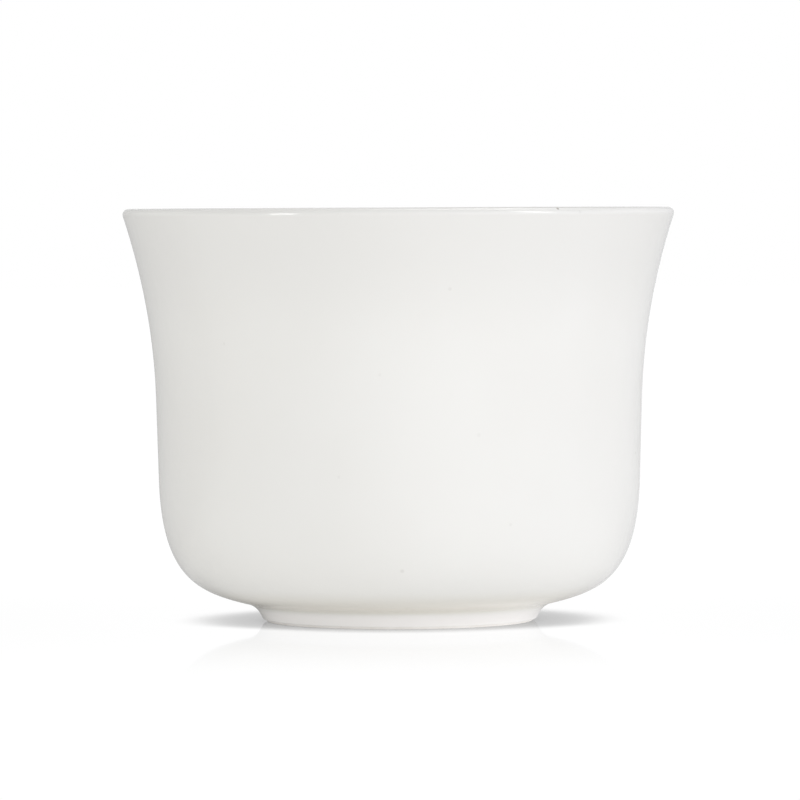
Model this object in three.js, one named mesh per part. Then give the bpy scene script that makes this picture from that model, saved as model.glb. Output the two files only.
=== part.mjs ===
// Handleless tea cup: a flared porcelain bowl luted to a low foot ring, under three coats of white glaze.
// Millimetres, +Z up. The cup's axis is Z, and the bare edge that it stands on lies in the plane Z = 0.
import * as THREE from "three";

// Sizes over the glaze
const mouthDiameter = 84;
const cupHeight = 63;

// Coats
const glazeThickness = 0.3;
const baseCornerRound = 0.6; // glaze gathered in the corner of the recess under the base

// Clay bowl, outside
const lipFlare = 4.95; // how far the lip stands out beyond the top of the straight wall
const heelHeight = 21.6; // from the table to the top of the rounded heel
const straightWall = 12.4; // height of the straight wall between the heel and the flare
const wallDraft = 1.65; // degrees that the straight wall leans out
const heelFullnessAtWall = 0.97; // 0 is a plain bevel, 1 a square corner
const heelFullnessAtBase = 0.55;
const undersideSlope = 13.6; // degrees that the underside climbs away from the foot

// Clay bowl, inside
const lipThickness = 1.2;
const wallThickness = 2; // at the top of the straight wall
const heelThickness = 2.3; // at the bottom of the straight wall
const floorThickness = 3.4; // on the axis
const floorDiameter = 34; // flat middle of the floor
const innerFullnessAtWall = 0.75;
const innerFullnessAtFloor = 0.8;

// Clay foot
const footDiameter = 40.6; // across the standing edge, before it is rounded
const footHeight = 2.77; // up to where the foot's side meets the line of the underside
const footLean = 29.2; // degrees that the foot's side leans out on its way up
const footFillet = 1.7; // run of the fillet along the foot's side and along the underside
const ringWidth = 2.6; // across the standing edge, before it is rounded
const recessDraft = 8; // degrees that the recess widens towards the table
const standingEdgeRound = 0.35;
const bareBand = 0.1; // height wiped clean of glaze above the rounded edge
const baseDish = 0.5; // how far the middle of the base is hollowed above its rim

// Facets
const turnSegments = 48;
const filletSteps = 2; // in each half of the foot's fillet
const heelSteps = 9;
const flareSteps = 5;
const lipSteps = 3; // in each quarter of the lip's round
const innerHeelSteps = 8;
const baseSteps = 3;
const edgeSteps = 3;

const clay = new THREE.MeshStandardMaterial({ color: 0xe3dacb, roughness: 0.8, metalness: 0 });
const whiteGlaze = new THREE.MeshStandardMaterial({ color: 0xebeae5, roughness: 0.12, metalness: 0 });
const greyerGlaze = new THREE.MeshStandardMaterial({ color: 0xe2e0d8, roughness: 0.18, metalness: 0 });

// Every outline lies in the half plane of (radius, height).
const at = (radius, height) => new THREE.Vector2(radius, height);
const level = at(1, 0);
const lean = (degrees) => Math.tan(THREE.MathUtils.degToRad(degrees));
const line = (from, to) => new THREE.LineCurve(from, to);
const bend = (from, corner, to) => new THREE.QuadraticBezierCurve(from, corner, to);

// Point where the line through a, along u, meets the line through b, along w
function crossing(a, u, b, w) {
  const reach = b.clone().sub(a).cross(w) / u.cross(w);
  return a.clone().addScaledVector(u, reach);
}

// Point at a height on the line through a, along u
const atHeight = (a, u, height) => crossing(a, u, at(0, height), level);

// Rounded corner between two straight sides, fuller or flatter by its handles' shares of the way
// to the corner
function roundedCorner(start, corner, end, fullnessAtStart, fullnessAtEnd) {
  return new THREE.CubicBezierCurve(
    start,
    start.clone().lerp(corner, fullnessAtStart),
    end.clone().lerp(corner, fullnessAtEnd),
    end,
  );
}

// Stations along a curve. Each holds a point and the direction that faces out of the clay,
// which is to the right of the way the curve runs.
function along(curve, steps, from = 0, to = 1) {
  const stations = [];
  for (let step = 0; step <= steps; step += 1) {
    const place = from + ((to - from) * step) / steps;
    const heading = curve.getTangent(place);
    stations.push({ point: curve.getPoint(place), out: at(heading.y, -heading.x) });
  }
  return stations;
}

// Runs of stations end to end, with the station that two runs share kept once
const joined = (...runs) => runs.flatMap((run, order) => (order === 0 ? run : run.slice(1)));

const claySide = (stations) => stations.map(({ point }) => point);
const glazeSide = (stations) =>
  stations.map(({ point, out }) => point.clone().addScaledVector(out, glazeThickness));

// Solid turned about Z from an outline that runs anticlockwise
function turned(name, outline, material) {
  const geometry = new THREE.LatheGeometry(outline, turnSegments);
  geometry.rotateX(Math.PI / 2);
  const mesh = new THREE.Mesh(geometry, material);
  mesh.name = name;
  return mesh;
}

// Foot, outside: a cone that narrows to the standing edge, filleted into the bowl's underside
const footEdge = at(footDiameter / 2, 0);
const upFoot = at(lean(footLean), 1).normalize();
const footCorner = atHeight(footEdge, upFoot, footHeight);
const glazeLineHeight = standingEdgeRound + bareBand;
const glazeLine = atHeight(footEdge, upFoot, glazeLineHeight);
const fullGlaze = glazeLine.clone().addScaledVector(upFoot, glazeThickness);
const upUnderside = at(1, lean(undersideSlope)).normalize();
const filletRun = Math.min(footFillet, footCorner.distanceTo(fullGlaze));
const filletFoot = footCorner.clone().addScaledVector(upFoot, -filletRun);
const filletTop = footCorner.clone().addScaledVector(upUnderside, filletRun);
const fillet = bend(filletFoot, footCorner, filletTop);

// The ring is luted to the bowl on a flat seat, half way up the fillet.
const seatHeight = fillet.getPoint(0.5).y;

// Foot, inside: the wall of the recess
const recessEdge = at(footEdge.x - ringWidth, 0);
const upRecess = at(-lean(recessDraft), 1).normalize();
const recessCorner = atHeight(recessEdge, upRecess, seatHeight);
const baseGlazeLine = atHeight(recessEdge, upRecess, glazeLineHeight);
const fullBaseGlaze = baseGlazeLine.clone().addScaledVector(upRecess, glazeThickness);

// Underside of the base, from the axis to the wall of the recess
const baseMiddle = at(0, seatHeight + baseDish);
const base = bend(baseMiddle, at(recessCorner.x / 2, baseMiddle.y), recessCorner);

// Bowl, outside
const wallTop = at(mouthDiameter / 2 - glazeThickness - lipFlare, heelHeight + straightWall);
const upWall = at(lean(wallDraft), 1).normalize();
const heelTop = atHeight(wallTop, upWall, heelHeight);
const heelCorner = crossing(wallTop, upWall, filletTop, upUnderside);
const heel = roundedCorner(filletTop, heelCorner, heelTop, heelFullnessAtBase, heelFullnessAtWall);

// Lip: a full round on the end of the flared wall
const lipRadius = lipThickness / 2;
const lipInset = glazeThickness + lipRadius;
const lipCentre = at(mouthDiameter / 2 - lipInset, cupHeight - lipInset);
const lipArc = (from, to) => new THREE.EllipseCurve(lipCentre.x, lipCentre.y, lipRadius, lipRadius, from, to);
const crest = Math.PI / 2;

// Lean of the wall where it meets the lip's round, for a flare that starts up the wall towards a corner
function leanAtLip(corner, side) {
  const toLip = lipCentre.clone().sub(corner);
  return Math.atan2(toLip.x, toLip.y) + side * Math.asin(lipRadius / toLip.length());
}

const flareMiddle = (wallTop.y + lipCentre.y) / 2;
const flareCorner = atHeight(wallTop, upWall, flareMiddle);
const lipSide = lipArc(-leanAtLip(flareCorner, 1), 0);
const flare = bend(wallTop, flareCorner, lipSide.getPoint(0));

// Bowl, inside
const innerWallTop = at(wallTop.x - wallThickness, wallTop.y);
const innerHeelTop = at(heelTop.x - heelThickness, heelTop.y);
const upInnerWall = innerWallTop.clone().sub(innerHeelTop).normalize();
const innerFlareCorner = atHeight(innerWallTop, upInnerWall, flareMiddle);
const innerLip = lipArc(crest, Math.PI - leanAtLip(innerFlareCorner, -1));
const innerFlare = bend(innerLip.getPoint(1), innerFlareCorner, innerWallTop);
const floorMiddle = at(0, baseMiddle.y + floorThickness);
const floorEdge = at(floorDiameter / 2, floorMiddle.y);
const innerCorner = atHeight(innerWallTop, upInnerWall, floorMiddle.y);
const innerHeel = roundedCorner(
  innerHeelTop,
  innerCorner,
  floorEdge,
  innerFullnessAtWall,
  innerFullnessAtFloor,
);

// Clay that carries glaze, up the outside to the crest of the lip and down the inside to the axis
const glazedFoot = joined(
  along(line(glazeLine, fullGlaze), 1),
  along(line(fullGlaze, filletFoot), 1),
  along(fillet, filletSteps, 0, 0.5),
);
const bowlOutside = joined(
  along(fillet, filletSteps, 0.5, 1),
  along(heel, heelSteps),
  along(line(heelTop, wallTop), 1),
  along(flare, flareSteps),
  along(lipSide, 1),
  along(lipArc(0, crest), lipSteps),
);
const bowlInside = joined(
  along(innerLip, lipSteps),
  along(innerFlare, flareSteps),
  along(line(innerWallTop, innerHeelTop), 1),
  along(innerHeel, innerHeelSteps),
  along(line(floorEdge, floorMiddle), 1),
);
const underBase = along(base, baseSteps);

function cupBody() {
  const outline = [...claySide(underBase), ...claySide(joined(bowlOutside, bowlInside))];
  return turned("cup_body", outline, clay);
}

function footRing() {
  const standingOuter = at(footEdge.x - standingEdgeRound, 0);
  const standingInner = at(recessEdge.x + standingEdgeRound, 0);
  const outerEdge = bend(standingOuter, footEdge, atHeight(footEdge, upFoot, standingEdgeRound));
  const innerEdge = bend(atHeight(recessEdge, upRecess, standingEdgeRound), recessEdge, standingInner);
  const outline = [
    ...outerEdge.getPoints(edgeSteps),
    ...claySide(glazedFoot),
    recessCorner,
    baseGlazeLine,
    ...innerEdge.getPoints(edgeSteps),
    standingOuter,
  ];
  return turned("foot_ring", outline, clay);
}

// The coat runs out to nothing at the glaze line, so its own surface starts one station above it.
function outerGlaze() {
  const stations = joined(glazedFoot, bowlOutside);
  const outline = [glazeLine, ...glazeSide(stations.slice(1)), ...claySide(stations).reverse()];
  return turned("outer_glaze", outline, whiteGlaze);
}

function innerGlaze() {
  const outline = [...claySide(bowlInside).reverse(), ...glazeSide(bowlInside)];
  return turned("inner_glaze", outline, whiteGlaze);
}

// The coat under the base turns down the wall of the recess, gathered in the corner between them.
function baseGlaze() {
  const coatUnder = glazeSide(underBase);
  const [, coatRunOut] = glazeSide(along(line(recessCorner, fullBaseGlaze), 1));
  const outUnder = base.getTangent(1);
  const corner = crossing(coatUnder.at(-1), outUnder, coatRunOut, upRecess);
  const round = Math.min(baseCornerRound, corner.distanceTo(coatRunOut));
  const gathered = bend(
    corner.clone().addScaledVector(outUnder, -round),
    corner,
    corner.clone().addScaledVector(upRecess, -round),
  );
  const outline = [
    ...coatUnder.slice(0, -1),
    ...gathered.getPoints(edgeSteps),
    coatRunOut,
    baseGlazeLine,
    ...claySide(underBase).reverse(),
  ];
  return turned("base_glaze", outline, greyerGlaze);
}

const cup = new THREE.Group();
cup.name = "handleless_tea_cup";
cup.add(cupBody(), footRing(), outerGlaze(), innerGlaze(), baseGlaze());

export default cup;
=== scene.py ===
import math

import bpy
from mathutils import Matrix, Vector, geometry


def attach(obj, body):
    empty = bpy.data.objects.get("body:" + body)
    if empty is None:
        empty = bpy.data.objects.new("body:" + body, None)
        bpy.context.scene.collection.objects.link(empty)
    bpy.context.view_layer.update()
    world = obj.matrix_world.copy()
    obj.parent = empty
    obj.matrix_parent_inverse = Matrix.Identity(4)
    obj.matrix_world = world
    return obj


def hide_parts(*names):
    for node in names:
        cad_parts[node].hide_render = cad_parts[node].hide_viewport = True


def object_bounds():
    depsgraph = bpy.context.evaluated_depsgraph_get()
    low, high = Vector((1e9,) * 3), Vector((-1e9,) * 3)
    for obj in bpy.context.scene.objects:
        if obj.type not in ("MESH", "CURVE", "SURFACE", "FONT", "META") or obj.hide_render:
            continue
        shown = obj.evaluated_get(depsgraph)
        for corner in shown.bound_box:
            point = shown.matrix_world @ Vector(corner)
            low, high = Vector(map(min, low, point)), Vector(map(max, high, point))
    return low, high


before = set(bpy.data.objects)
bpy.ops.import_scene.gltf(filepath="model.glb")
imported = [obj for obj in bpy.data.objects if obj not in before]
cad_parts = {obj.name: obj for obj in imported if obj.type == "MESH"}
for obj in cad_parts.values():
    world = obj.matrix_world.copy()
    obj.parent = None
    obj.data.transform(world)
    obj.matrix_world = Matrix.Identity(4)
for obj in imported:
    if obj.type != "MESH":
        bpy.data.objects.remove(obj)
cad_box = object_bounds()

# Sizes of the cup in millimetres: the mouth and the height from the frame, the rest as in the solids
MM = 0.001
MOUTH_RADIUS = cad_box[1][0] / MM
CUP_HEIGHT = cad_box[1][2] / MM
GLAZE = 0.3
BEAD_ROUND = 0.75 * GLAZE
BASE_CORNER_ROUND = 0.6
LIP_FLARE = 4.95
HEEL_HEIGHT = 21.6
STRAIGHT_WALL = 12.4
WALL_DRAFT = math.radians(1.65)
HEEL_FULLNESS_AT_WALL = 0.97
HEEL_FULLNESS_AT_BASE = 0.55
UNDERSIDE_SLOPE = math.radians(13.6)
LIP_RADIUS = 0.6
WALL_THICKNESS = 2.0
HEEL_THICKNESS = 2.3
FLOOR_THICKNESS = 3.4
FLOOR_RADIUS = 17.0
INNER_FULLNESS_AT_WALL = 0.75
INNER_FULLNESS_AT_FLOOR = 0.8
FOOT_RADIUS = 20.3
FOOT_HEIGHT = 2.77
FOOT_LEAN = math.radians(29.2)
FOOT_FILLET = 1.7
RING_WIDTH = 2.6
RECESS_DRAFT = math.radians(8.0)
STANDING_EDGE_ROUND = 0.35
BARE_BAND = 0.1
BASE_DISH = 0.5

# Steps round the axis and along the outlines
TURN_STEPS = 192
STANDING_STEPS = 4
EDGE_STEPS = 10
FOOT_SIDE_STEPS = 3
FILLET_STEPS = 24
SEAT_STEPS = 4
RECESS_STEPS = 6
BASE_STEPS = 12
HEEL_STEPS = 40
WALL_STEPS = 8
FLARE_STEPS = 30
OUTER_LIP_STEPS = 20
INNER_LIP_STEPS = 16
FLOOR_STEPS = 10
CORNER_STEPS = 6
BEAD_STEPS = 5

# Modelling limits, with lengths in millimetres
MERGE_DISTANCE = 0.0005
RING_REACH = 0.02
SMOOTH_ANGLE = math.radians(40)


# Outlines in the half plane of (radius, height)
def at(radius, height):
    return Vector((radius, height))


def crossing(a, u, b, w):
    """Point where the line through a, along u, meets the line through b, along w."""
    return a + u * ((b - a).cross(w) / u.cross(w))


def at_height(a, u, height):
    """Point at a height on the line through a, along u."""
    return a + u * ((height - a.y) / u.y)


def cubic(start, handle_a, handle_b, end, steps):
    return geometry.interpolate_bezier(start, handle_a, handle_b, end, steps + 1)


def bend(start, corner, end, steps):
    """Parabola that leaves start towards corner and comes into end from it."""
    return cubic(start, start.lerp(corner, 2 / 3), end.lerp(corner, 2 / 3), end, steps)


def straight(start, end, steps):
    return [start.lerp(end, step / steps) for step in range(steps + 1)]


def arc(centre, radius, start, end, steps):
    angles = [start + (end - start) * step / steps for step in range(steps + 1)]
    return [centre + at(math.cos(angle), math.sin(angle)) * radius for angle in angles]


def joined(*runs):
    """Runs end to end, with the point that two runs share kept once."""
    points = list(runs[0])
    for run in runs[1:]:
        points += run[1:]
    return points


# Foot
foot_edge = at(FOOT_RADIUS, 0.0)
up_foot = at(math.tan(FOOT_LEAN), 1.0).normalized()
foot_corner = at_height(foot_edge, up_foot, FOOT_HEIGHT)
glaze_line_height = STANDING_EDGE_ROUND + BARE_BAND
glaze_line = at_height(foot_edge, up_foot, glaze_line_height)
up_underside = at(1.0, math.tan(UNDERSIDE_SLOPE)).normalized()
fillet_foot = foot_corner - up_foot * FOOT_FILLET
fillet_top = foot_corner + up_underside * FOOT_FILLET
fillet = bend(fillet_foot, foot_corner, fillet_top, FILLET_STEPS)
fillet_middle = len(fillet) // 2
seat_height = fillet[fillet_middle].y

# Recess under the base
recess_edge = at(FOOT_RADIUS - RING_WIDTH, 0.0)
up_recess = at(-math.tan(RECESS_DRAFT), 1.0).normalized()
recess_corner = at_height(recess_edge, up_recess, seat_height)
base_glaze_line = at_height(recess_edge, up_recess, glaze_line_height)
base_middle = at(0.0, seat_height + BASE_DISH)
base = bend(base_middle, at(recess_corner.x / 2, base_middle.y), recess_corner, BASE_STEPS)

# Bowl, outside
wall_top = at(MOUTH_RADIUS - GLAZE - LIP_FLARE, HEEL_HEIGHT + STRAIGHT_WALL)
up_wall = at(math.tan(WALL_DRAFT), 1.0).normalized()
heel_top = at_height(wall_top, up_wall, HEEL_HEIGHT)
heel_corner = crossing(wall_top, up_wall, fillet_top, up_underside)
heel = cubic(
    fillet_top,
    fillet_top.lerp(heel_corner, HEEL_FULLNESS_AT_BASE),
    heel_top.lerp(heel_corner, HEEL_FULLNESS_AT_WALL),
    heel_top,
    HEEL_STEPS,
)

# Lip
lip_inset = GLAZE + LIP_RADIUS
lip_centre = at(MOUTH_RADIUS - lip_inset, CUP_HEIGHT - lip_inset)
crest = math.pi / 2


def lean_at_lip(corner, side):
    """Lean of the wall where it meets the lip's round, for a flare that bends at a corner."""
    to_lip = lip_centre - corner
    return math.atan2(to_lip.x, to_lip.y) + side * math.asin(LIP_RADIUS / to_lip.length)


flare_middle = (wall_top.y + lip_centre.y) / 2
flare_corner = at_height(wall_top, up_wall, flare_middle)
lip_outside = arc(lip_centre, LIP_RADIUS, -lean_at_lip(flare_corner, 1), crest, OUTER_LIP_STEPS)
flare = bend(wall_top, flare_corner, lip_outside[0], FLARE_STEPS)

# Bowl, inside
inner_wall_top = at(wall_top.x - WALL_THICKNESS, wall_top.y)
inner_heel_top = at(heel_top.x - HEEL_THICKNESS, heel_top.y)
up_inner_wall = (inner_wall_top - inner_heel_top).normalized()
inner_flare_corner = at_height(inner_wall_top, up_inner_wall, flare_middle)
inner_lip_end = math.pi - lean_at_lip(inner_flare_corner, -1)
lip_inside = arc(lip_centre, LIP_RADIUS, crest, inner_lip_end, INNER_LIP_STEPS)
inner_flare = bend(lip_inside[-1], inner_flare_corner, inner_wall_top, FLARE_STEPS)
floor_middle = at(0.0, base_middle.y + FLOOR_THICKNESS)
floor_edge = at(FLOOR_RADIUS, floor_middle.y)
inner_corner = at_height(inner_wall_top, up_inner_wall, floor_middle.y)
inner_heel = cubic(
    inner_heel_top,
    inner_heel_top.lerp(inner_corner, INNER_FULLNESS_AT_WALL),
    floor_edge.lerp(inner_corner, INNER_FULLNESS_AT_FLOOR),
    floor_edge,
    HEEL_STEPS,
)

# Clay that carries glaze, up the outside to the crest of the lip and down the inside to the axis
glazed_foot = joined(straight(glaze_line, fillet_foot, FOOT_SIDE_STEPS), fillet[: fillet_middle + 1])
bowl_outside = joined(
    fillet[fillet_middle:],
    heel,
    straight(heel_top, wall_top, WALL_STEPS),
    flare,
    lip_outside,
)
bowl_inside = joined(
    lip_inside,
    inner_flare,
    straight(inner_wall_top, inner_heel_top, WALL_STEPS),
    inner_heel,
    straight(floor_edge, floor_middle, FLOOR_STEPS),
)


# Meshes
def draw_outline(name, outline):
    """A chain of edges through the outline, drawn from a small square merged to one point."""
    bpy.ops.object.select_all(action="DESELECT")
    start = outline[0]
    bpy.ops.mesh.primitive_plane_add(size=MM, location=(start.x * MM, 0.0, start.y * MM))
    piece = bpy.context.object
    piece.name = name
    piece.data.name = name
    bpy.ops.object.transform_apply(location=True, rotation=True, scale=True)
    bpy.ops.object.mode_set(mode="EDIT")
    bpy.ops.mesh.select_mode(type="VERT")
    bpy.ops.mesh.select_all(action="SELECT")
    bpy.ops.mesh.merge(type="CENTER")
    for here, there in zip(outline, outline[1:]):
        step = (there - here) * MM
        bpy.ops.mesh.extrude_vertices_move(
            TRANSFORM_OT_translate={"value": (step.x, 0.0, step.y)}
        )
    return piece


def turn(name, outline):
    """The outline turned once round the axis, its seam and poles closed."""
    piece = draw_outline(name, outline)
    bpy.ops.mesh.select_all(action="SELECT")
    bpy.ops.mesh.spin(steps=TURN_STEPS, angle=math.tau, center=(0, 0, 0), axis=(0, 0, 1))
    bpy.ops.mesh.select_all(action="SELECT")
    bpy.ops.mesh.remove_doubles(threshold=MERGE_DISTANCE * MM)
    bpy.ops.mesh.normals_make_consistent(inside=False)
    bpy.ops.object.mode_set(mode="OBJECT")
    bpy.ops.object.shade_smooth_by_angle(angle=SMOOTH_ANGLE)
    return piece


def glaze_coat(name, skin, side=1.0):
    """An even coat on a skin of the clay, where its faces point, or behind them with a side of -1."""
    piece = turn(name, skin)
    coat = piece.modifiers.new("coat", "SOLIDIFY")
    coat.thickness = GLAZE * MM
    coat.offset = side
    coat.use_even_offset = True
    coat.use_quality_normals = True
    bpy.ops.object.modifier_apply(modifier=coat.name)
    bpy.ops.object.shade_smooth_by_angle(angle=SMOOTH_ANGLE)
    return piece


def round_ring(piece, ring, radius, steps):
    """Rounds the edge that runs round the axis through a point of the outline."""
    bpy.ops.object.select_all(action="DESELECT")
    piece.select_set(True)
    bpy.context.view_layer.objects.active = piece
    bpy.ops.object.mode_set(mode="EDIT")
    bpy.ops.mesh.select_mode(type="EDGE")
    bpy.ops.mesh.select_all(action="DESELECT")
    bpy.ops.object.mode_set(mode="OBJECT")
    vertices = piece.data.vertices

    def on_ring(index):
        place = vertices[index].co / MM
        return abs(place.xy.length - ring.x) < RING_REACH and abs(place.z - ring.y) < RING_REACH

    for edge in piece.data.edges:
        edge.select = all(on_ring(index) for index in edge.vertices)
    bpy.ops.object.mode_set(mode="EDIT")
    bpy.ops.mesh.bevel(offset=radius * MM, segments=steps, affect="EDGES")
    bpy.ops.object.mode_set(mode="OBJECT")
    bpy.ops.object.shade_smooth_by_angle(angle=SMOOTH_ANGLE)


# Nodes
def colour(red, green, blue):
    return (red, green, blue, 1.0)


WHITE = colour(1.0, 1.0, 1.0)

# Sockets of the Mix node where it mixes colours
MIX_SHARE = 0
MIX_FIRST = 6
MIX_SECOND = 7
MIX_RESULT = 2


class Nodes:
    """The node tree of a finish, the table or the sky."""

    def __init__(self, tree):
        self.nodes = tree.nodes
        self.links = tree.links

    def add(self, kind, **inputs):
        node = self.nodes.new("ShaderNode" + kind)
        for name, value in inputs.items():
            self.plug(node.inputs[name.replace("_", " ")], value)
        return node

    def plug(self, socket, value):
        """Links an output to the socket, or sets the socket to a plain value."""
        if hasattr(value, "is_output"):
            self.links.new(value, socket)
        else:
            socket.default_value = value

    def maths(self, operation, a, b):
        node = self.add("Math")
        node.operation = operation
        self.plug(node.inputs[0], a)
        self.plug(node.inputs[1], b)
        return node.outputs["Value"]

    def vector_maths(self, operation, *vectors):
        node = self.add("VectorMath")
        node.operation = operation
        for socket, vector in zip(node.inputs, vectors):
            self.plug(socket, vector)
        return node.outputs["Value"]

    def span(self, value, low, high, to_low=0.0, to_high=1.0):
        """Smooth step from to_low, where the value is low, to to_high, where it is high."""
        node = self.add("MapRange", Value=value, From_Min=low, From_Max=high, To_Min=to_low, To_Max=to_high)
        node.interpolation_type = "SMOOTHSTEP"
        return node.outputs["Result"]

    def mix(self, share, first, second):
        """A colour between two colours."""
        node = self.add("Mix")
        node.data_type = "RGBA"
        self.plug(node.inputs[MIX_SHARE], share)
        self.plug(node.inputs[MIX_FIRST], first)
        self.plug(node.inputs[MIX_SECOND], second)
        return node.outputs[MIX_RESULT]

    def blend(self, share, first, second):
        """A shader between two shaders."""
        node = self.add("MixShader", Fac=share)
        self.links.new(first.outputs[0], node.inputs[1])
        self.links.new(second.outputs[0], node.inputs[2])
        return node

    def total(self, first, second):
        """Two shaders added together."""
        node = self.add("AddShader")
        self.links.new(first.outputs[0], node.inputs[0])
        self.links.new(second.outputs[0], node.inputs[1])
        return node


# Finishes
class Finish(Nodes):
    """The material of a piece, with its pattern in millimetres on the cup."""

    SPOT_CORE = 0.45  # share of a spot's radius that is at full strength

    def __init__(self, name):
        self.material = bpy.data.materials.new(name)
        self.material.use_nodes = True
        super().__init__(self.material.node_tree)
        self.shader = self.nodes["Principled BSDF"]
        coordinates = self.add("TexCoord").outputs["Object"]
        in_millimetres = (1 / MM, 1 / MM, 1 / MM)
        self.place = self.add("Mapping", Vector=coordinates, Scale=in_millimetres).outputs["Vector"]
        self.height = self.add("SeparateXYZ", Vector=self.place).outputs["Z"]

    def give(self, name, value):
        self.plug(self.shader.inputs[name], value)

    def noise(self, scale, detail, roughness=0.5):
        node = self.add("TexNoise", Vector=self.place, Scale=scale, Detail=detail, Roughness=roughness)
        return node.outputs["Fac"]

    def clouds(self, scale, detail, spread, low=0.0, high=1.0):
        """Soft noise stretched from low to high over that spread to either side of its middle."""
        return self.span(self.noise(scale, detail), 0.5 - spread, 0.5 + spread, low, high)

    def specks(self, spacing, radius, kept, strength):
        """Small round spots, about one to a cell of that spacing, of which that share is kept."""
        node = self.add("TexVoronoi", Vector=self.place, Scale=1 / spacing)
        edge = radius / spacing
        spot = self.span(node.outputs["Distance"], edge, self.SPOT_CORE * edge, 0.0, strength)
        split = self.add("SeparateColor", Color=node.outputs["Color"])
        chosen = self.maths("LESS_THAN", split.outputs["Red"], kept)
        return self.maths("MULTIPLY", spot, chosen)

    def spot_at(self, point, radius, strength):
        distance = self.vector_maths("DISTANCE", self.place, point)
        return self.span(distance, radius, self.SPOT_CORE * radius, 0.0, strength)

    def bump(self, height, depth):
        return self.add("Bump", Height=height, Distance=depth * MM).outputs["Normal"]


# White glaze: its tones, and pairs of heights where a change starts and where it is full
GLAZE_TONES = (colour(0.806, 0.797, 0.762), colour(0.816, 0.8085, 0.775))
GLAZE_IOR = 1.5
# Glaze pooled in the crease above the foot, its tone also darkened and spread up the heel as painted shade
POOL_AND_SHADE_TONE = colour(0.66, 0.62, 0.525)
POOL_AND_SHADE_START = (1.9, 3.1)
POOL_AND_SHADE_END = (6.4, 2.5)
POOL_AND_SHADE_SHARE = 0.85
FOOT_TONE = colour(0.89, 0.87, 0.848)
FOOT_COAT = (2.6, 1.5)
# Painted shade: a darker tone that rises from the flare to the lip, with where it starts and where it is
# full
LIP_SHADE_TONE = colour(0.735, 0.726, 0.697)
LIP_SHADE_HEIGHTS = (42.0, 57.0)
LIP_SHADE_SHARE = 0.45
IRON_TONE = colour(0.30, 0.27, 0.23)

# Marks that iron leaves in the white glaze: place and radius in millimetres, and strength
IRON_SPOTS = (
    ((7.53, -38.37, 51.14), 0.36, 0.09),
    ((0.36, -34.18, 9.59), 0.40, 0.14),
    ((35.72, -8.91, 25.79), 0.36, 0.16),
    ((23.44, -34.37, 62.84), 0.30, 0.80),
    ((-2.8, -37.21, 38.57), 0.32, 0.06),
    ((11.72, -35.02, 29.61), 0.40, 0.06),
    ((-8.89, -35.66, 23.55), 0.32, 0.06),
)


def white_glaze_finish():
    """Glossy glaze that pools in the crease above the foot, with painted shade there as well, thins on the
    foot, and is darker towards the lip with painted shade.
    """
    finish = Finish("white_glaze")
    tone = finish.mix(finish.clouds(scale=0.045, detail=2.0, spread=0.15), *GLAZE_TONES)
    # Pooled glaze in the crease, partly painted shade
    pool_and_shade_start = finish.span(finish.height, *POOL_AND_SHADE_START)
    pool_and_shade_end = finish.span(finish.height, *POOL_AND_SHADE_END, 0.0, POOL_AND_SHADE_SHARE)
    tone = finish.mix(finish.maths("MULTIPLY", pool_and_shade_start, pool_and_shade_end), tone, POOL_AND_SHADE_TONE)
    tone = finish.mix(finish.span(finish.height, *FOOT_COAT), tone, FOOT_TONE)
    # Painted shade, darker from the flare up to the lip
    tone = finish.mix(finish.span(finish.height, *LIP_SHADE_HEIGHTS, 0.0, LIP_SHADE_SHARE), tone, LIP_SHADE_TONE)
    specks = finish.specks(spacing=5.2, radius=0.34, kept=0.16, strength=0.07)
    tone = finish.mix(specks, tone, IRON_TONE)
    for place, radius, strength in IRON_SPOTS:
        tone = finish.mix(finish.spot_at(place, radius, strength), tone, IRON_TONE)
    finish.give("Base Color", tone)
    finish.give("Roughness", finish.clouds(scale=0.25, detail=3.0, spread=0.2, low=0.08, high=0.12))
    finish.give("Normal", finish.bump(finish.noise(scale=0.45, detail=2.0), depth=0.02))
    finish.give("IOR", GLAZE_IOR)
    return finish.material


BASE_TONES = (colour(0.725, 0.715, 0.675), colour(0.775, 0.765, 0.725))
BASE_IRON_TONE = colour(0.30, 0.25, 0.20)


def base_glaze_finish():
    """The same glaze under the base, a little greyer, with more iron in it."""
    finish = Finish("base_glaze")
    tone = finish.mix(finish.clouds(scale=0.09, detail=3.0, spread=0.15), *BASE_TONES)
    specks = finish.specks(spacing=3.6, radius=0.3, kept=0.22, strength=0.2)
    finish.give("Base Color", finish.mix(specks, tone, BASE_IRON_TONE))
    finish.give("Roughness", finish.clouds(scale=0.3, detail=3.0, spread=0.2, low=0.13, high=0.2))
    finish.give("Normal", finish.bump(finish.noise(scale=0.4, detail=2.0), depth=0.03))
    finish.give("IOR", GLAZE_IOR)
    return finish.material


BISCUIT_TONES = (colour(0.83, 0.80, 0.76), colour(0.88, 0.855, 0.82))
FLASHED_TONE = colour(0.76, 0.70, 0.63)
FLASHED_BAND = (0.45, 0.75)
FLASHED_SHARE = 0.2
GRIT_TONE = colour(0.35, 0.27, 0.20)


def biscuit_finish():
    """Bare fired clay, fine and matt, warmer above the band that is wiped clean."""
    finish = Finish("biscuit_clay")
    tone = finish.mix(finish.clouds(scale=0.35, detail=4.0, spread=0.2), *BISCUIT_TONES)
    tone = finish.mix(finish.span(finish.height, *FLASHED_BAND, 0.0, FLASHED_SHARE), tone, FLASHED_TONE)
    grit = finish.specks(spacing=0.9, radius=0.12, kept=0.25, strength=0.3)
    finish.give("Base Color", finish.mix(grit, tone, GRIT_TONE))
    finish.give("Roughness", finish.clouds(scale=1.5, detail=3.0, spread=0.2, low=0.72, high=0.9))
    finish.give("Normal", finish.bump(finish.noise(scale=5.0, detail=4.0, roughness=0.65), depth=0.02))
    return finish.material


# Pieces
def biscuit_bowl():
    outline = base[:-1] + [recess_corner] + bowl_outside + bowl_inside[1:]
    return turn("biscuit_bowl", outline)


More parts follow.
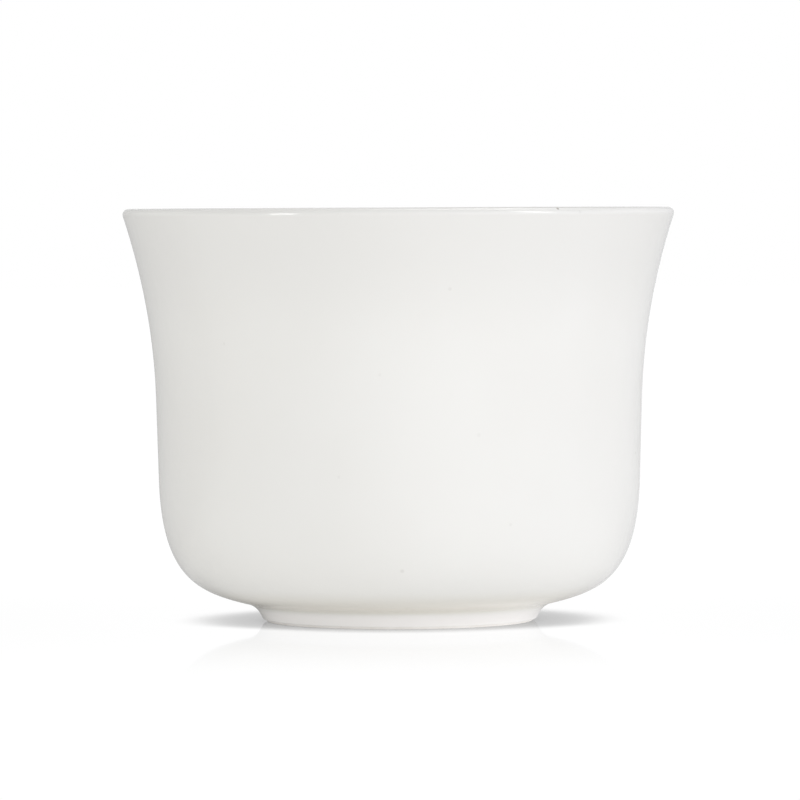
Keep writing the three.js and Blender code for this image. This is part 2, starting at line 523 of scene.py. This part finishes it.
def biscuit_foot():
    standing_outer = at(foot_edge.x - STANDING_EDGE_ROUND, 0.0)
    standing_inner = at(recess_edge.x + STANDING_EDGE_ROUND, 0.0)
    outer_side = at_height(foot_edge, up_foot, STANDING_EDGE_ROUND)
    inner_side = at_height(recess_edge, up_recess, STANDING_EDGE_ROUND)
    outline = joined(
        bend(standing_outer, foot_edge, outer_side, EDGE_STEPS),
        [outer_side, *glazed_foot],
        straight(fillet[fillet_middle], recess_corner, SEAT_STEPS),
        straight(recess_corner, inner_side, RECESS_STEPS),
        bend(inner_side, recess_edge, standing_inner, EDGE_STEPS),
        straight(standing_inner, standing_outer, STANDING_STEPS),
    )
    return turn("biscuit_foot", outline)


def outer_glaze_coat():
    """The coat outside, which ends in a bead at the glaze line on the foot."""
    piece = glaze_coat("outer_glaze_coat", joined(glazed_foot, bowl_outside))
    out_of_foot = at(up_foot.y, -up_foot.x)
    round_ring(piece, glaze_line + out_of_foot * GLAZE, BEAD_ROUND, BEAD_STEPS)
    return piece


def inner_glaze_coat():
    return glaze_coat("inner_glaze_coat", bowl_inside)


def base_glaze_coat():
    """The coat in the recess, gathered in its corner and ended in a bead on its wall."""
    piece = glaze_coat("base_glaze_coat", [*base, base_glaze_line], side=-1.0)
    out_of_recess = at(-up_recess.y, up_recess.x)
    along_base = (base[-1] - base[-2]).normalized()
    under_base = at(along_base.y, -along_base.x)
    coat_on_base = recess_corner + under_base * GLAZE
    coat_on_wall = recess_corner + out_of_recess * GLAZE
    corner = crossing(coat_on_base, along_base, coat_on_wall, up_recess)
    round_ring(piece, corner, BASE_CORNER_ROUND, CORNER_STEPS)
    round_ring(piece, base_glaze_line + out_of_recess * GLAZE, BEAD_ROUND, BEAD_STEPS)
    return piece


def finish_piece(piece, node, material):
    piece.data.materials.clear()
    piece.data.materials.append(material)
    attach(piece, "root")
    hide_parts(node)


biscuit = biscuit_finish()
white_glaze = white_glaze_finish()
base_glaze = base_glaze_finish()

finish_piece(biscuit_bowl(), "cup_body", biscuit)
finish_piece(biscuit_foot(), "foot_ring", biscuit)
finish_piece(outer_glaze_coat(), "outer_glaze", white_glaze)
finish_piece(inner_glaze_coat(), "inner_glaze", white_glaze)
finish_piece(base_glaze_coat(), "base_glaze", base_glaze)

# Table, in metres, with pairs from where a change starts to where it is full
TABLE_SIZE = 6.0
TABLE_PLACE = (1.0, 0.5, 0.0)
TABLE_BOUNCE = 0.3

# Glow of the table, which lights the cup from below, and its changes at the left and right of the foot
TABLE_GLOW = 0.29
GLOW_IN_FRONT = 0.284
GLOW_AT_RIGHT = 0.133
GLOW_FADE = 0.05
SIDE_FADE = 0.025
NEAR_FOOT = (0.026, 0.021)
NEAR_FOOT_CHANGES = (-0.36, 0.36)
BESIDE_FOOT = (0.045, 0.028)
BESIDE_FOOT_DEPTH = (-0.014, 0.002)
BESIDE_FOOT_CHANGES = (-0.4, -0.2)

# How white the table looks, from where the cup covers it to the open: open share and brightness
TABLE_SHADES = ((0.0, 0.1), (0.14, 0.5), (0.26, 0.53), (0.36, 0.68), (0.45, 0.87), (0.54, 1.02))
SHADE_REACH = 0.03
SHADE_EASE = 0.12
SHADE_EASE_DEPTH = 0.03
FRONT_EASE = 0.14
FRONT_EASE_DEPTH = (-0.008, -0.024)
CONTACT_OPEN = 0.09

# Faint mirror in the table, fading away from the cup
MIRROR_SHARE = 0.3
MIRROR_FADE = (0.15, 0.02)
MIRROR_IOR = 1.45
MIRROR_ROUGHNESS = 0.04


def changed_glow(shading, glow, place, share, changes):
    """The glow raised or lowered by the changes for the left and the right, as far as the share says."""
    change = shading.span(place["X"], -SIDE_FADE, SIDE_FADE, *changes)
    change = shading.maths("MULTIPLY", change, share)
    return shading.maths("MULTIPLY", glow, shading.maths("ADD", change, 1.0))


def table_glow(shading, place, distance):
    """Strength of the table's glow, more in front of the cup and at its right."""
    in_front = shading.span(place["Y"], GLOW_FADE, -GLOW_FADE, 0.0, GLOW_IN_FRONT)
    at_right = shading.span(place["X"], -GLOW_FADE, GLOW_FADE, 0.0, GLOW_AT_RIGHT)
    glow = shading.maths("ADD", shading.maths("ADD", in_front, at_right), TABLE_GLOW)
    near = shading.span(distance, *NEAR_FOOT)
    glow = changed_glow(shading, glow, place, near, NEAR_FOOT_CHANGES)
    beside = shading.span(place["Y"], *BESIDE_FOOT_DEPTH)
    beside = shading.maths("MULTIPLY", beside, shading.span(distance, *BESIDE_FOOT))
    return changed_glow(shading, glow, place, beside, BESIDE_FOOT_CHANGES)


def table_shade(shading, place):
    """White of the table as it is seen, darker where the cup covers it and eased in front."""
    open_share = shading.add("AmbientOcclusion", Distance=SHADE_REACH).outputs["AO"]
    ease = shading.span(place["Y"], SHADE_EASE_DEPTH, -SHADE_EASE_DEPTH, 0.0, SHADE_EASE)
    front_ease = shading.span(place["Y"], *FRONT_EASE_DEPTH, 0.0, FRONT_EASE)
    ease = shading.maths("ADD", ease, front_ease)
    ease = shading.maths("MULTIPLY", ease, shading.span(open_share, 0.0, CONTACT_OPEN))
    ramp = shading.add("ValToRGB", Fac=shading.maths("ADD", open_share, ease))
    stops = ramp.color_ramp.elements
    for place_in_ramp, (position, white) in enumerate(TABLE_SHADES):
        stop = stops[place_in_ramp] if place_in_ramp < len(stops) else stops.new(position)
        stop.position = position
        stop.color = colour(white, white, white)
    return ramp.outputs["Color"]


def white_table_finish():
    """A white light table, shaded where the cup stands close over it, and open from below."""
    surface = bpy.data.materials.new("white_table")
    surface.use_nodes = True
    surface.node_tree.nodes.clear()
    shading = Nodes(surface.node_tree)
    point = shading.add("TexCoord").outputs["Object"]
    place = shading.add("SeparateXYZ", Vector=point).outputs
    distance = shading.vector_maths("LENGTH", point)

    matt = shading.add("BsdfDiffuse", Color=colour(TABLE_BOUNCE, TABLE_BOUNCE, TABLE_BOUNCE))
    lit = shading.total(matt, shading.add("Emission", Strength=table_glow(shading, place, distance)))

    seen = shading.add("Emission", Color=table_shade(shading, place))
    mirror = shading.add("BsdfGlossy", Color=WHITE, Roughness=MIRROR_ROUGHNESS)
    shine = shading.maths(
        "MULTIPLY",
        shading.span(distance, *MIRROR_FADE, 0.0, MIRROR_SHARE),
        shading.add("Fresnel", IOR=MIRROR_IOR).outputs["Fac"],
    )
    seen = shading.blend(shine, seen, mirror)
    from_below = shading.add("NewGeometry").outputs["Backfacing"]
    seen = shading.blend(from_below, seen, shading.add("BsdfTransparent"))

    to_camera = shading.add("LightPath").outputs["Is Camera Ray"]
    whole = shading.blend(to_camera, lit, seen)
    shading.add("OutputMaterial", Surface=whole.outputs["Shader"])
    return surface


def white_table():
    bpy.ops.object.select_all(action="DESELECT")
    bpy.ops.mesh.primitive_plane_add(size=TABLE_SIZE, location=TABLE_PLACE)
    bpy.ops.object.transform_apply(location=True, rotation=True, scale=True)
    table_top = bpy.context.object
    table_top.name = "table_top"
    table_top.data.materials.append(white_table_finish())


# Sky: a low even glow, more at the horizon in front and over the whole back
SKY_GLOW = 0.165
HORIZON_GLOW = 0.649
HORIZON_RISE = (0.24, 0.04)
BACK_GLOW = 0.43
BACK_TURN = (-0.1, 0.5)

# Soft lights in the sky: degrees to the right of the camera, degrees up, tightness and strength
WARM_LIGHTS = (
    (-120, 15, 10, 0.293),
    (-90, 15, 10, 0.365),
    (-60, 15, 10, 0.28),
    (-30, 15, 10, 0.249),
    (0, 15, 10, 0.358),
    (5, 50, 6, 0.47),
    (150, 65, 40, 4.0),
    (180, 4, 200, 0.34),
)
COOL_LIGHTS = (
    (30, 15, 10, 0.644),
    (60, 15, 10, 0.845),
    (90, 15, 10, 0.575),
    (120, 15, 10, 0.207),
    (150, 15, 10, 0.118),
)
COOL = colour(0.985, 1.0, 1.12)

# Strip boxes a metre from the lip: degrees to the right, degrees up, width and height in metres, brightness
STRIP_BOXES = {
    "left_strip": (-48, 12, 0.19, 0.5, 5.5),
    "right_strip": (62, 29, 0.23, 0.6, 4.0),
}
STRIP_AIM = Vector((0.0, 0.0, 0.06))


def toward(azimuth, elevation):
    """Direction from the cup, in degrees to the right of the camera and degrees up."""
    turned = math.radians(azimuth)
    raised = math.radians(elevation)
    level = math.cos(raised)
    return Vector((math.sin(turned) * level, -math.cos(turned) * level, math.sin(raised)))


def soft_lights(shading, direction, light, lights):
    """The light with the lobes of the soft lights added to it."""
    for azimuth, elevation, tightness, strength in lights:
        facing = shading.vector_maths("DOT_PRODUCT", direction, toward(azimuth, elevation))
        lobe = shading.maths("POWER", shading.maths("MAXIMUM", facing, 0.0), tightness)
        light = shading.maths("ADD", light, shading.maths("MULTIPLY", lobe, strength))
    return light


def studio_sky():
    """Soft light round the cup, with a plain white backdrop where the sky itself is seen."""
    world = bpy.data.worlds.new("studio")
    bpy.context.scene.world = world
    world.use_nodes = True
    world.node_tree.nodes.clear()
    shading = Nodes(world.node_tree)
    direction = shading.add("TexCoord").outputs["Generated"]
    split = shading.add("SeparateXYZ", Vector=direction).outputs
    at_back = shading.span(split["Y"], *BACK_TURN)
    horizon = shading.span(split["Z"], *HORIZON_RISE, 0.0, HORIZON_GLOW)
    horizon = shading.maths("MULTIPLY", horizon, shading.maths("SUBTRACT", 1.0, at_back))
    glow = shading.maths("ADD", horizon, SKY_GLOW)
    glow = shading.maths("ADD", glow, shading.maths("MULTIPLY", at_back, BACK_GLOW))
    warm = soft_lights(shading, direction, glow, WARM_LIGHTS)
    cool = soft_lights(shading, direction, 0.0, COOL_LIGHTS)
    warm_sky = shading.add("Background", Strength=warm, Color=WHITE)
    cool_sky = shading.add("Background", Strength=cool, Color=COOL)
    backdrop = shading.add("Background", Color=WHITE)
    to_camera = shading.add("LightPath").outputs["Is Camera Ray"]
    whole = shading.blend(to_camera, shading.total(warm_sky, cool_sky), backdrop)
    shading.add("OutputWorld", Surface=whole.outputs["Shader"])


def strip_box(name, azimuth, elevation, width, height, brightness):
    data = bpy.data.lights.new(name, "AREA")
    data.shape = "RECTANGLE"
    data.size = width
    data.size_y = height
    data.energy = math.pi * width * height * brightness
    light = bpy.data.objects.new(name, data)
    bpy.context.scene.collection.objects.link(light)
    away = toward(azimuth, elevation)
    light.location = STRIP_AIM + away
    light.rotation_euler = (-away).to_track_quat("-Z", "Y").to_euler()


# Camera: place in millimetres, angles in radians, lens in pixels of the picture, clips in metres
CAMERA_PLACE = Vector((0.148, -947.8, 64.4))
CAMERA_DIP = 0.0324
CAMERA_ROLL = -0.0043
LENS_PIXELS = 6214.2
PICTURE_PIXELS = 800
SENSOR_WIDTH = 36.0
CLIP_START = 0.05
CLIP_END = 50.0


def long_lens_camera():
    data = bpy.data.cameras.new("camera")
    data.sensor_width = SENSOR_WIDTH
    data.lens = LENS_PIXELS / PICTURE_PIXELS * SENSOR_WIDTH
    data.clip_start = CLIP_START
    data.clip_end = CLIP_END
    camera = bpy.data.objects.new("camera", data)
    bpy.context.scene.collection.objects.link(camera)
    camera.location = CAMERA_PLACE * MM
    camera.rotation_mode = "ZYX"
    camera.rotation_euler = (math.pi / 2 - CAMERA_DIP, 0.0, CAMERA_ROLL)
    bpy.context.scene.camera = camera


white_table()
studio_sky()
for strip_name, strip in STRIP_BOXES.items():
    strip_box(strip_name, *strip)
long_lens_camera()
bpy.context.scene.view_settings.view_transform = "Standard"
